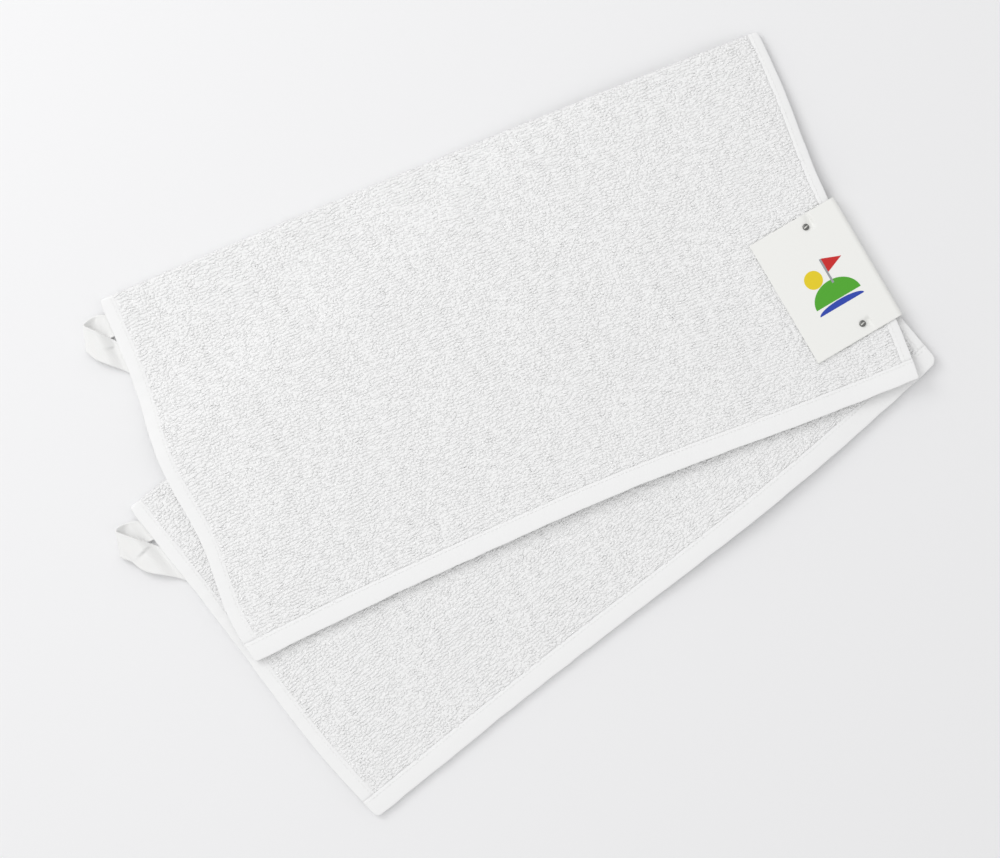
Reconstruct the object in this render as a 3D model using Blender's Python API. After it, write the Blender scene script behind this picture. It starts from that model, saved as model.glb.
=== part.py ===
"""Two folded terry golf towels, fanned out and held together at one end by a pinned header card.

Metres, +Z up. The origin is under the middle of the whole set, on the surface it lies on.
Each towel is one sheet folded in half, and its places are given in two distances:
  a runs along the fold, from the loop end (0) to the card end (TOWEL_LENGTH);
  b runs across, from the fold (0) to the hemmed open edge (FOLDED_DEPTH).
The lower leaf lies on what is under it, and the upper leaf lies on the lower one.
"""
import math
from dataclasses import dataclass

import bmesh
import bpy
import numpy as np
from mathutils import Matrix, Vector

# Cloth
TOWEL_LENGTH = 0.455        # along the fold
FOLDED_DEPTH = 0.250        # from the fold to the open edge, half of the cut depth
TERRY = 0.0018              # one leaf of terry, with its loops
HEM_RECESS = 0.0002         # how far a hem's outer face lies below the terry's
LEAF_GAP = 0.0003           # between the two leaves of one towel
TOWEL_GAP = 0.0006          # between the two towels
END_HEM = 0.0135            # width of the hem along the open edge
LEFT_HEM = 0.0095           # width of the side hem at the loop end
RIGHT_HEM = 0.007           # width of the side hem at the card end
SEAM_GAP = 0.0003           # between a hem and the terry it finishes
STACK = 2 * TERRY + LEAF_GAP
HEM_CELLS = 2

# The fan: both towels turn about one point near the card
FAN_PIVOT = (0.208, 0.079)
PIVOT_FROM_RIGHT = 0.0218
PIVOT_FROM_HEM = 0.0693
UPPER_ANGLE = math.radians(22.7)
LOWER_ANGLE = math.radians(39.0)
DRAPE_RUN = 0.052           # distance over which the upper towel comes down beside the lower one
DRAPE_MARGIN = 0.004        # level border of the upper towel just outside the lower one

# Hanging loops, of woven tape folded over once
TAPE_WIDTH = 0.015
TAPE = 0.0009
TAPE_ROOM = 0.0003          # between a sewn end of the tape and the hem over or under it
HEM = STACK / 2 - HEM_RECESS - TAPE / 2 - TAPE_ROOM
TAPE_CURL = 0.0030          # radius of the curl where the tape turns back
TAPE_REST = 0.0002          # height of the tape's lower run over the surface
HINGE_OUT = 0.0014          # from the hem's edge to the line about which a loop swings
HINGE_HALF_GAP = 0.00015    # from that line to the swinging tape
TAIL_BACK_OFF = 0.00080     # from that line to the sewn tape ends
TAIL_INSET = 0.0007         # from the sewn ends to the inner edge of the side hem
LOWER_RUN_SETTLE = 0.006    # over which the lower run sinks from the hem to the surface
UPPER_RUN_SETTLE = 0.0085   # over which the upper run rises from the hem
HEM_CHORD = 0.036           # stretch of the side hem to which a loop's directions are squared

# Header card, folded round the right-hand edges of both towels
CARD_LENGTH = 0.0862        # along its spine
CARD_WIDTH = 0.0617         # from the spine to the free edges
CARD_STOCK = 0.0005
CARD_CORNER = 0.0020        # outer radius of the two folds beside the spine
CARD_ANGLE = math.radians(30.5)
CARD_FROM_PIVOT = 0.0149    # from the pivot to the card's middle, towards the fold, along the spine
CARD_EDGE_ROOM = 0.0011     # from the cloth's outermost edge to the inside of the spine
CARD_RUN = 0.028            # distance over which the lower towel climbs onto the card's back panel
CARD_GAP = 0.0003

# Pins through card and cloth
PIN_FROM_SPINE = 0.0249
PIN_FROM_END = 0.0078
PIN_RADIUS = 0.0006
PIN_HEAD_RADIUS = 0.0021
PIN_HEAD = 0.0008
PIN_HEAD_RIM = 0.0003       # straight part of the head, below its dome
PIN_FOOT = 0.00012          # height of a pin's foot over the surface
PIN_ROOM = 0.0003           # between a pin and every hole it passes through
CAP_RADIUS = 0.0026
CAP = 0.0006
CAP_CHAMFER = 0.0002

# Mesh fineness
CELLS_ALONG = 28
CELLS_ACROSS = 15
CELLS_ROUND_FOLD = 6
TAPE_CELLS = (5, 9, 7)      # lower run, curl, upper run
TAPE_CELLS_ACROSS = 4
PIN_SIDES = 24
DOME_STEPS = 6
CORNER_STEPS = 5            # points round each fold beside the card's spine
EDGE_SAMPLES = 60           # places along an edge at which the card looks for the cloth
CARD_SAMPLES = (24, 32)     # places across and along the card at which it looks for the cloth
SHARP = math.radians(40)    # edges bent by more than this are drawn sharp
MERGE = 1e-6


@dataclass(frozen=True)
class Towel:
    """How one towel lies. Lengths in metres; shares run from 0 to 1 along a and b."""
    name: str
    angle: float            # of the fold, from +X
    fold_right: tuple       # how far each corner slid along a and b from a true rectangle
    hem_left: tuple
    hem_right: tuple
    fold_wave: tuple        # outward bow of each edge, as the sizes of 1, 2, 3 and more half waves
    hem_wave: tuple
    left_wave: tuple
    right_wave: tuple
    lifts: tuple            # share of a, share of b, height, reach along a, reach along b


@dataclass(frozen=True)
class Loop:
    """How one hanging loop lies, measured from its towel's fold corner along the side hem."""
    towel: Towel
    near_edge: float        # edge of the tape that is nearest the fold, where it leaves the hem
    root_gap: float         # between the tape's two runs where they leave the hem
    lean: float             # of the tape's lower run from square to the hem, away from the fold
    slant: float            # of the line where it turns back, from square to the tape


UPPER = Towel(
    name="upper", angle=UPPER_ANGLE,
    fold_right=(-0.0045, 0.0038), hem_left=(0.0038, 0.0), hem_right=(0.0042, -0.0043),
    fold_wave=(0.0020,), hem_wave=(-0.0070, -0.0007, 0.0005, -0.0005),
    left_wave=(0.0042, -0.0006, -0.0003, -0.0018, 0.0010), right_wave=(-0.0020, -0.0017, 0.0021),
    lifts=((0.55, 1.0, 0.0016, 0.090, 0.030), (1.0, 1.0, 0.0026, 0.042, 0.024)))
LOWER = Towel(
    name="lower", angle=LOWER_ANGLE,
    fold_right=(-0.0040, 0.0030), hem_left=(-0.0010, 0.0017), hem_right=(0.0016, 0.0),
    fold_wave=(0.0,), hem_wave=(0.0035, -0.0023, 0.0004),
    left_wave=(0.0023, -0.0016, 0.0004), right_wave=(0.0,),
    lifts=((0.68, 1.0, 0.0034, 0.075, 0.035), (1.0, 1.0, 0.0024, 0.040, 0.026)))
LOOPS = (
    Loop(towel=UPPER, near_edge=0.0102, root_gap=0.00125, lean=math.radians(2.0), slant=math.radians(25.0)),
    Loop(towel=LOWER, near_edge=0.0102, root_gap=0.0029, lean=math.radians(-15.0), slant=math.radians(21.5)))

FINISHES = {
    "white_terry_cotton": ((0.82, 0.82, 0.82), 0.95, 0.0),
    "white_woven_hem": ((0.87, 0.87, 0.87), 0.85, 0.0),
    "white_twill_tape": ((0.86, 0.86, 0.86), 0.80, 0.0),
    "offwhite_card_stock": ((0.83, 0.83, 0.80), 0.60, 0.0),
    "dark_nickel": ((0.12, 0.12, 0.13), 0.35, 1.0),
}


# ---------------------------------------------------------------- places on the towels

def smooth(x):
    """A soft step: 0 up to 0, 1 from 1, and level at both."""
    x = np.clip(x, 0.0, 1.0)
    return x * x * (3.0 - 2.0 * x)


def half_waves(share, sizes):
    """A sum of half waves that is zero at both ends of an edge."""
    return sum(size * np.sin((k + 1) * math.pi * share) for k, size in enumerate(sizes))


def fold_corner(towel):
    """The fold's loop end, placed so that the pivot's place in the towel is at the fan's pivot."""
    a = TOWEL_LENGTH - PIVOT_FROM_RIGHT
    b = FOLDED_DEPTH - PIVOT_FROM_HEM
    c, s = math.cos(towel.angle), math.sin(towel.angle)
    return FAN_PIVOT[0] - a * c - b * s, FAN_PIVOT[1] - a * s + b * c


def plan(towel, a, b):
    """World x and y of a place on a towel: its rectangle, with slid corners and bowed edges."""
    u = a / TOWEL_LENGTH
    v = b / FOLDED_DEPTH
    slide = [u * (1 - v) * towel.fold_right[i] + (1 - u) * v * towel.hem_left[i]
             + u * v * towel.hem_right[i] for i in (0, 1)]
    along = a + slide[0] - (1 - u) * half_waves(v, towel.left_wave)
    along = along + u * half_waves(v, towel.right_wave)
    across = b + slide[1] - (1 - v) * half_waves(u, towel.fold_wave)
    across = across + v * half_waves(u, towel.hem_wave)
    x0, y0 = fold_corner(towel)
    c, s = math.cos(towel.angle), math.sin(towel.angle)
    return x0 + along * c + across * s, y0 + along * s - across * c


def unplan(towel, x, y):
    """Places a and b under a world point, leaving out the slides and bows."""
    x0, y0 = fold_corner(towel)
    c, s = math.cos(towel.angle), math.sin(towel.angle)
    return (x - x0) * c + (y - y0) * s, (x - x0) * s - (y - y0) * c


def lift(towel, a, b):
    """Height by which a towel's waves stand off what is under it."""
    a = np.clip(a, 0.0, TOWEL_LENGTH)
    b = np.clip(b, 0.0, FOLDED_DEPTH)
    return sum(h * np.exp(-((a - u * TOWEL_LENGTH) / run_a) ** 2 - ((b - v * FOLDED_DEPTH) / run_b) ** 2)
               for u, v, h, run_a, run_b in towel.lifts)


def beyond(x, y, half_x, half_y):
    """Distance outside a rectangle centred at zero."""
    return np.hypot(np.maximum(np.abs(x) - half_x, 0.0), np.maximum(np.abs(y) - half_y, 0.0))


# ---------------------------------------------------------------- the card's place

def card_axes():
    """Unit directions in plan: from the card's free edge to its spine, and along the spine."""
    c, s = math.cos(CARD_ANGLE), math.sin(CARD_ANGLE)
    return np.array((c, s)), np.array((-s, c))


def card_middle():
    """Middle of the card in plan, its spine just outside the outermost edge it wraps."""
    out, up = card_axes()
    along = float(np.dot(FAN_PIVOT, up)) + CARD_FROM_PIVOT
    edge = []
    for towel in (UPPER, LOWER):
        points = np.array(plan(towel, TOWEL_LENGTH, np.linspace(0.0, FOLDED_DEPTH, EDGE_SAMPLES)))
        near = np.abs(up @ points - along) < CARD_LENGTH / 2 + SEAM_GAP
        edge.append((out @ points)[near].max())
    spine = max(edge) + CARD_EDGE_ROOM + CARD_STOCK
    return out * (spine - CARD_WIDTH / 2) + up * along


def card_share(x, y):
    """1 over the card's back panel, falling to 0 at CARD_RUN from it."""
    out, up = card_axes()
    mx, my = card_middle()
    dx, dy = x - mx, y - my
    far = beyond(dx * out[0] + dy * out[1], dx * up[0] + dy * up[1], CARD_WIDTH / 2, CARD_LENGTH / 2)
    return 1.0 - smooth(far / CARD_RUN)


def lower_base(x, y):
    """Height of the lower towel's underside."""
    climb = CAP + CARD_GAP + CARD_STOCK + CARD_GAP
    return climb * card_share(x, y) + lift(LOWER, *unplan(LOWER, x, y))


def upper_base(x, y):
    """Height of the upper towel's underside: over the lower towel, and down beside it."""
    a, b = unplan(LOWER, x, y)
    outside = beyond(a - TOWEL_LENGTH / 2, b - FOLDED_DEPTH / 2, TOWEL_LENGTH / 2, FOLDED_DEPTH / 2)
    over = 1.0 - smooth((outside - DRAPE_MARGIN) / DRAPE_RUN)
    return over * (lower_base(x, y) + STACK + TOWEL_GAP) + lift(UPPER, *unplan(UPPER, x, y))


def base(towel, x, y):
    """Height of a towel's underside."""
    return upper_base(x, y) if towel is UPPER else lower_base(x, y)


def on_towel(towel, a, b, height):
    """World points at places a, b and at a height above the towel's underside."""
    x, y = plan(towel, a, b)
    return np.stack([x, y, base(towel, x, y) + height], axis=-1)


# ---------------------------------------------------------------- meshes

def add_object(name, mesh, finish):
    """A named object that uses one of the finishes."""
    obj = bpy.data.objects.new(name, mesh)
    bpy.context.scene.collection.objects.link(obj)
    mesh.materials.append(finish)
    return obj


def grid_solid(name, outer, inner, finish):
    """A closed solid between two matching grids of points, joined round their rims."""
    rows, cols = outer.shape[:2]
    index = np.arange(rows * cols).reshape(rows, cols)
    quads = np.stack([index[:-1, :-1], index[1:, :-1], index[1:, 1:], index[:-1, 1:]], -1).reshape(-1, 4)
    rim = np.concatenate([index[0, :-1], index[:-1, -1], index[-1, :0:-1], index[:0:-1, 0]])
    step = np.roll(rim, -1)
    far = rows * cols
    sides = np.stack([rim, step, step + far, rim + far], -1)
    faces = np.concatenate([quads, quads[:, ::-1] + far, sides])
    mesh = bpy.data.meshes.new(name)
    points = np.concatenate([outer.reshape(-1, 3), inner.reshape(-1, 3)])
    mesh.from_pydata(points.tolist(), [], faces.tolist())
    tidy = bmesh.new()
    tidy.from_mesh(mesh)
    bmesh.ops.recalc_face_normals(tidy, faces=tidy.faces)
    bmesh.ops.triangulate(tidy, faces=tidy.faces)
    tidy.to_mesh(mesh)
    tidy.free()
    mesh.shade_smooth()
    mesh.set_sharp_from_angle(angle=SHARP)
    return add_object(name, mesh, finish)


def turned_solid(name, profile, finish):
    """A solid turned about Z from a closed outline of (radius, height) points."""
    turned = bmesh.new()
    ring = [turned.verts.new((r, 0.0, z)) for r, z in profile]
    edges = [turned.edges.new((p, q)) for p, q in zip(ring, ring[1:])]
    if profile[0][0] > 0.0:
        edges.append(turned.edges.new((ring[-1], ring[0])))
    bmesh.ops.spin(turned, geom=ring + edges, cent=(0, 0, 0), axis=(0, 0, 1),
                   angle=math.tau, steps=PIN_SIDES, use_merge=True)
    bmesh.ops.remove_doubles(turned, verts=turned.verts, dist=MERGE)
    bmesh.ops.recalc_face_normals(turned, faces=turned.faces)
    mesh = bpy.data.meshes.new(name)
    turned.to_mesh(mesh)
    turned.free()
    mesh.shade_smooth()
    mesh.set_sharp_from_angle(angle=SHARP)
    return add_object(name, mesh, finish)


def pin_cutter(name, x, y, top):
    """An upright cylinder, wider than a pin by its room, that cuts the pin's holes."""
    mesh = bpy.data.meshes.new(name)
    bore = bmesh.new()
    radius = PIN_RADIUS + PIN_ROOM
    bmesh.ops.create_cone(bore, cap_ends=True, segments=PIN_SIDES, radius1=radius, radius2=radius,
                          depth=2 * top)
    bore.to_mesh(mesh)
    bore.free()
    cutter = bpy.data.objects.new(name, mesh)
    bpy.context.scene.collection.objects.link(cutter)
    cutter.location = (x, y, 0.0)
    cutter.hide_render = True
    cutter.display_type = "WIRE"
    return cutter


def cut(obj, cutters):
    """Cuts each cutter out of an object."""
    for cutter in cutters:
        hole = obj.modifiers.new(cutter.name, "BOOLEAN")
        hole.operation = "DIFFERENCE"
        hole.solver = "EXACT"
        hole.object = cutter


# ---------------------------------------------------------------- towels

def folded_path(end, thickness, recess):
    """Places b and heights of a folded strip's outer and inner faces, top leaf, fold, lower leaf."""
    flat = np.linspace(end, STACK / 2, CELLS_ACROSS + 1)
    turn = np.linspace(0.0, math.pi, CELLS_ROUND_FOLD + 1)[1:-1]
    faces = []
    for radius in (STACK / 2 - recess, STACK / 2 - recess - thickness):
        bend = STACK / 2 - radius * np.sin(turn)
        height = STACK / 2 + radius * np.cos(turn)
        b = np.concatenate([flat, bend, flat[::-1]])
        z = np.concatenate([np.full(flat.size, STACK / 2 + radius), height,
                            np.full(flat.size, STACK / 2 - radius)])
        faces.append((b, z))
    return faces


def folded_strip(name, towel, start, stop, cells, thickness, recess, finish):
    """A strip of cloth that covers both leaves and goes round the fold, from a = start to stop."""
    a = np.linspace(start, stop, cells + 1)[:, None]
    faces = [on_towel(towel, a, b[None, :], z[None, :])
             for b, z in folded_path(FOLDED_DEPTH - END_HEM, thickness, recess)]
    return grid_solid(name, faces[0], faces[1], finish)


def end_hem(name, towel, low, finish):
    """The hem along the open edge of one leaf, from its lower face upwards."""
    a = np.linspace(0.0, TOWEL_LENGTH, CELLS_ALONG + 1)[:, None]
    b = np.linspace(FOLDED_DEPTH - END_HEM + SEAM_GAP, FOLDED_DEPTH, HEM_CELLS + 1)[None, :]
    return grid_solid(name, on_towel(towel, a, b, low + HEM), on_towel(towel, a, b, low), finish)


def build_towel(towel, finishes, cutters):
    """One towel: its folded terry sheet, two side hems round the fold and two end hems."""
    terry = folded_strip(towel.name + "_terry_sheet", towel, LEFT_HEM + SEAM_GAP,
                         TOWEL_LENGTH - RIGHT_HEM - SEAM_GAP, CELLS_ALONG, TERRY, 0.0,
                         finishes["white_terry_cotton"])
    cut(terry, cutters)
    hem = finishes["white_woven_hem"]
    folded_strip(towel.name + "_side_hem_left", towel, 0.0, LEFT_HEM, 1, HEM, HEM_RECESS, hem)
    folded_strip(towel.name + "_side_hem_right", towel, TOWEL_LENGTH - RIGHT_HEM, TOWEL_LENGTH, 1,
                 HEM, HEM_RECESS, hem)
    end_hem(towel.name + "_end_hem_bottom_leaf", towel, HEM_RECESS, hem)
    end_hem(towel.name + "_end_hem_top_leaf", towel, STACK - HEM_RECESS - HEM, hem)


# ---------------------------------------------------------------- hanging loops

class LoopFrame:
    """A loop's own directions and the surface its tape follows.

    Distances s run along the side hem from the fold corner, and out runs away from the hem.
    On the flat tape, w runs across it and o along it from the hem.
    The root is where the middle of the lower run leaves the hem, and the reach is the length of that
    middle up to where the tape turns back. The reach brings the upper run back beside the root.
    """

    def __init__(self, loop):
        self.loop = loop
        self.root = loop.near_edge + TAPE_WIDTH / 2 / math.cos(loop.lean)
        self.reach = self.find_reach()
        edge = [np.array(plan(loop.towel, 0.0, b)) for b in (self.root, self.root + HEM_CHORD)]
        self.along = (edge[1] - edge[0]) / np.linalg.norm(edge[1] - edge[0])
        self.out = np.array((self.along[1], -self.along[0]))
        self.zero = edge[0] - self.along * self.root
        hinge = self.zero + self.out * HINGE_OUT + self.along * self.root
        self.hinge_height = self.hem_middle(*hinge)
        self.hinge = np.array((*hinge, self.hinge_height))

    def find_reach(self):
        """The reach at which the two runs leave the hem with the root gap between them."""
        loop = self.loop
        turned = 2 * loop.slant
        shift = loop.root_gap + TAPE_WIDTH / 2 * (1 / math.cos(loop.lean) + 1 / math.cos(turned - loop.lean))
        across = shift * math.cos(loop.lean) - HINGE_OUT * math.sin(loop.lean)
        ahead = shift * math.sin(loop.lean) + HINGE_OUT * math.cos(loop.lean)
        wrap = math.pi * TAPE_CURL
        back = (across + wrap * math.sin(loop.slant)) / math.sin(turned)
        return ahead + back * math.cos(turned) - wrap * math.cos(loop.slant)

    def hem_middle(self, x, y):
        """Height half way up the towel's hems."""
        return base(self.loop.towel, x, y) + STACK / 2

    def points(self, s, out, z):
        """World points from distances along and away from the hem."""
        flat = self.zero + s[..., None] * self.along + out[..., None] * self.out
        return np.concatenate([flat, z[..., None]], axis=-1)

    def lower_run(self, w, out):
        """Length o along the tape at which its lower run is at a distance out from the hem."""
        return (out + w * math.sin(self.loop.lean)) / math.cos(self.loop.lean)

    def upper_run(self, w, out):
        """Length o along the tape at which its upper run is at a distance out from the hem."""
        loop = self.loop
        sin, cos = math.sin(loop.lean), math.cos(loop.lean)
        wrap = math.pi * TAPE_CURL
        across = w * math.cos(2 * loop.slant) - wrap * math.sin(loop.slant)
        ahead = self.reach + w * math.sin(2 * loop.slant) + wrap * math.cos(loop.slant)
        return self.reach + (cos * ahead - sin * across - out) / math.cos(2 * loop.slant - loop.lean)

    def place(self, w, o):
        """Distances s and out, and the turn round the curl, of a place on the flat tape.

        A flat tape leaves the hem, wraps half round a cylinder whose axis is slanted against it,
        and comes back over itself at twice that slant.
        """
        loop = self.loop
        sin, cos = math.sin(loop.slant), math.cos(loop.slant)
        t = w * cos + (o - self.reach) * sin
        q = -w * sin + (o - self.reach) * cos
        turn = np.clip(q / TAPE_CURL, 0.0, math.pi)
        past = np.where(q < 0.0, q, TAPE_CURL * np.sin(turn) - np.maximum(q - math.pi * TAPE_CURL, 0.0))
        across = t * cos - past * sin
        ahead = self.reach + t * sin + past * cos
        s = self.root + across * math.cos(loop.lean) + ahead * math.sin(loop.lean)
        out = ahead * math.cos(loop.lean) - across * math.sin(loop.lean)
        return s, out, turn

    def tape_middle(self):
        """World points of the swinging tape's middle surface, across and along it."""
        loop = self.loop
        start = HINGE_OUT + HINGE_HALF_GAP
        w = np.linspace(-TAPE_WIDTH / 2, TAPE_WIDTH / 2, TAPE_CELLS_ACROSS + 1)[:, None]
        bend_start = self.reach + w * math.tan(loop.slant)
        bend_stop = bend_start + math.pi * TAPE_CURL / math.cos(loop.slant)
        stops = [self.lower_run(w, start), bend_start, bend_stop, self.upper_run(w, start)]
        runs = []
        for first, last, cells in zip(stops, stops[1:], TAPE_CELLS):
            share = np.linspace(0.0, 1.0, cells + 1)[None, :]
            runs.append((first + (last - first) * share)[:, :-1])
        s, out, turn = self.place(w, np.concatenate(runs + [stops[-1]], axis=1))
        settle = np.where(turn > 0.0, UPPER_RUN_SETTLE, LOWER_RUN_SETTLE)
        level = TAPE_REST + TAPE / 2 + TAPE_CURL * (1.0 - np.cos(turn))
        z = self.hinge_height + (level - self.hinge_height) * smooth((out - HINGE_OUT) / settle)
        return self.points(s, out, z)


def thicken(name, middle, thickness, finish):
    """A closed solid of even thickness about a grid of points."""
    down = np.gradient(middle, axis=0)
    right = np.gradient(middle, axis=1)
    normal = np.cross(down, right)
    normal /= np.linalg.norm(normal, axis=-1, keepdims=True)
    offset = normal * thickness / 2
    return grid_solid(name, middle + offset, middle - offset, finish)


def sewn_tail(name, frame, run, finish):
    """A sewn end of the tape between the two side hems, in line with one of the tape's runs."""
    w = np.array([-0.5, 0.5])[:, None] * TAPE_WIDTH
    out = np.array([HINGE_OUT - TAIL_BACK_OFF, TAIL_INSET - LEFT_HEM])[None, :]
    s, out, _ = frame.place(w, run(w, out))
    middle = frame.points(s, out, np.zeros(s.shape))
    middle[..., 2] = frame.hem_middle(middle[..., 0], middle[..., 1])
    half = np.array((0.0, 0.0, TAPE / 2))
    return grid_solid(name, middle + half, middle - half, finish)


def build_loop(loop, finish):
    """A loop: its swinging bow, hung on an empty on the hinge line, and its two sewn ends."""
    frame = LoopFrame(loop)
    name = loop.towel.name
    bow = thicken(name + "_loop_bow", frame.tape_middle(), TAPE, finish)
    axis = Vector((*frame.along, 0.0))
    hinge = bpy.data.objects.new(name + "_loop_hinge", None)
    bpy.context.scene.collection.objects.link(hinge)
    place = Matrix.Translation(frame.hinge) @ axis.to_track_quat("X", "Z").to_matrix().to_4x4()
    hinge.matrix_world = place
    bow.data.transform(place.inverted())
    bow.parent = hinge
    sewn_tail(name + "_loop_tail_back", frame, frame.lower_run, finish)
    sewn_tail(name + "_loop_tail_front", frame, frame.upper_run, finish)


# ---------------------------------------------------------------- card and pins

def card_heights():
    """Heights of the outer faces of the card's back and front panels."""
    out, up = card_axes()
    s, t = np.meshgrid(*[np.linspace(-0.5, 0.5, count) * length
                         for count, length in zip(CARD_SAMPLES, (CARD_WIDTH, CARD_LENGTH))])
    mx, my = card_middle()
    cloth = upper_base(mx + s * out[0] + t * up[0], my + s * out[1] + t * up[1]) + STACK
    return CAP + CARD_GAP, float(cloth.max()) + CARD_GAP + CARD_STOCK


def card_path(low, high, inset, corner):
    """Outline of the folded card in section: front panel, spine, back panel."""
    turn = np.linspace(math.pi / 2, 0.0, CORNER_STEPS)
    edge = CARD_WIDTH / 2 - inset - corner
    x = np.concatenate([[-CARD_WIDTH / 2], edge + corner * np.cos(turn),
                        edge + corner * np.cos(turn[::-1]), [-CARD_WIDTH / 2]])
    z = np.concatenate([[high], high - corner + corner * np.sin(turn),
                        low + corner - corner * np.sin(turn[::-1]), [low]])
    return x, z


def build_card(finish, cutters):
    """The header card: one sheet folded round the cloth, with a spine and two panels."""
    out, up = card_axes()
    middle = card_middle()
    low, high = card_heights()
    faces = []
    for inset in (0.0, CARD_STOCK):
        x, z = card_path(low + inset, high - inset, inset, CARD_CORNER - inset)
        along = np.array([-0.5, 0.5])[:, None] * CARD_LENGTH
        flat = middle + x[None, :, None] * out + along[..., None] * up
        faces.append(np.concatenate([flat, np.broadcast_to(z[None, :, None], flat.shape[:2] + (1,))], -1))
    card = grid_solid("header_card", faces[0], faces[1], finish)
    cut(card, cutters)


def pin_places():
    """Plan positions of the two pins."""
    out, up = card_axes()
    middle = card_middle()
    return [middle + out * (CARD_WIDTH / 2 - PIN_FROM_SPINE) + up * side * (CARD_LENGTH / 2 - PIN_FROM_END)
            for side in (1, -1)]


def build_pins(finish):
    """Two pins with domed heads on the card, each with a pressed cap under the card."""
    top = card_heights()[1]
    seat = top + CARD_GAP
    rise = PIN_HEAD - PIN_HEAD_RIM
    dome = [(PIN_HEAD_RADIUS * math.cos(turn), seat + PIN_HEAD_RIM + rise * math.sin(turn))
            for turn in np.linspace(0.0, math.pi / 2, DOME_STEPS)]
    dome[-1] = (0.0, seat + PIN_HEAD)
    pin = [(0.0, PIN_FOOT), (PIN_RADIUS, PIN_FOOT), (PIN_RADIUS, seat), (PIN_HEAD_RADIUS, seat)] + dome
    bore = PIN_RADIUS + PIN_ROOM
    cap = [(bore, 0.0), (CAP_RADIUS, 0.0), (CAP_RADIUS, CAP - CAP_CHAMFER),
           (CAP_RADIUS - CAP_CHAMFER, CAP), (bore, CAP)]
    for label, (x, y) in zip(("upper", "lower"), pin_places()):
        for name, outline in (("card_pin_" + label, pin), ("pin_cap_" + label, cap)):
            turned_solid(name, outline, finish).location = (x, y, 0.0)


# ---------------------------------------------------------------- the whole set

def make_finishes():
    """One Principled material for each finish."""
    made = {}
    for name, (colour, roughness, metallic) in FINISHES.items():
        material = bpy.data.materials.new(name)
        material.use_nodes = True
        shader = material.node_tree.nodes["Principled BSDF"]
        shader.inputs["Base Color"].default_value = (*colour, 1.0)
        shader.inputs["Roughness"].default_value = roughness
        shader.inputs["Metallic"].default_value = metallic
        made[name] = material
    return made


def centre_on_origin():
    """Moves everything in plan so that the middle of the set's box is at the origin."""
    bpy.context.view_layer.update()
    solids = [obj for obj in bpy.data.objects if obj.type == "MESH" and not obj.hide_render]
    points = np.array([obj.matrix_world @ v.co for obj in solids for v in obj.data.vertices])
    shift = -(points.min(axis=0) + points.max(axis=0)) / 2
    for obj in bpy.data.objects:
        if obj.parent is None:
            obj.location.x += shift[0]
            obj.location.y += shift[1]


def build():
    """Clears the scene and makes every piece."""
    for obj in list(bpy.data.objects):
        bpy.data.objects.remove(obj, do_unlink=True)
    finishes = make_finishes()
    cutters = [pin_cutter("pin_bore_" + str(i + 1), x, y, 2 * card_heights()[1])
               for i, (x, y) in enumerate(pin_places())]
    for towel in (LOWER, UPPER):
        build_towel(towel, finishes, cutters)
    for loop in LOOPS:
        build_loop(loop, finishes["white_twill_tape"])
    build_card(finishes["offwhite_card_stock"], cutters)
    build_pins(finishes["dark_nickel"])
    centre_on_origin()


build()
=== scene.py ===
"""Looks for two folded terry golf towels, fanned out and held at one end by a pinned header card.

Metres, +Z up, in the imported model's frame. Each towel is one sheet folded in half. A place on it is:
  a, along the fold, from the loop end (0) to the card end (TOWEL_LENGTH);
  b, across, from the fold (0) to the hemmed open edge (FOLDED_DEPTH);
  p, round the folded section: 0 at the fold's outermost line, positive over the upper leaf, negative
     under the lower leaf;
  n, outwards from the cloth's outer face.
"""
import math
from dataclasses import dataclass

import bpy
import numpy as np
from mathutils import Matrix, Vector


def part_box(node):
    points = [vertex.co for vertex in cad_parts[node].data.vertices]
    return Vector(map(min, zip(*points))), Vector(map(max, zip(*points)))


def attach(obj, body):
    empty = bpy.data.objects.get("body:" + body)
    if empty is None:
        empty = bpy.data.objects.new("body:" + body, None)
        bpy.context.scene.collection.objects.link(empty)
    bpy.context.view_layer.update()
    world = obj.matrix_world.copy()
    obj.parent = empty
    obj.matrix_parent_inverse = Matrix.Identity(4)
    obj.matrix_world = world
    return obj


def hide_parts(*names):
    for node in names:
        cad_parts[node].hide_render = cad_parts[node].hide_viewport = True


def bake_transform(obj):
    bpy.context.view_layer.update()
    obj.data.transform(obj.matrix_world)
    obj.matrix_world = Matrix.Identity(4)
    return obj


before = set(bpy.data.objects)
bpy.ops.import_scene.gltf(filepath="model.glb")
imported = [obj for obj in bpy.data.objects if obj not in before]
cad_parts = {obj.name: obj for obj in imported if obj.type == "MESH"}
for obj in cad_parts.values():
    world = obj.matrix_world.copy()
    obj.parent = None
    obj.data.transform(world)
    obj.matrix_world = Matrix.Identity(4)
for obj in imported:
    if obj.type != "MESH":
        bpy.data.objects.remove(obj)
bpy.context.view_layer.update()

# ---------------------------------------------------------------- sizes of the real set

TOWEL_LENGTH = 0.455        # along the fold
FOLDED_DEPTH = 0.250        # from the fold to the open edge, half of the cut depth
TERRY = 0.0018              # one leaf of terry, with its loops
HEM_RECESS = 0.0002         # how far a hem's outer face lies below the terry's
LEAF_GAP = 0.0003           # between the two leaves of one towel
TOWEL_GAP = 0.0006          # between the two towels
END_HEM = 0.0135            # width of the hem along the open edge
LEFT_HEM = 0.0095           # width of the side hem at the loop end
RIGHT_HEM = 0.007           # width of the side hem at the card end
SEAM_GAP = 0.0003           # between a hem and the terry it finishes
STACK = 2 * TERRY + LEAF_GAP
FOLD_RADIUS = STACK / 2
QUARTER = FOLD_RADIUS * math.pi / 2         # path length from the fold's outermost line to a leaf

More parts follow.
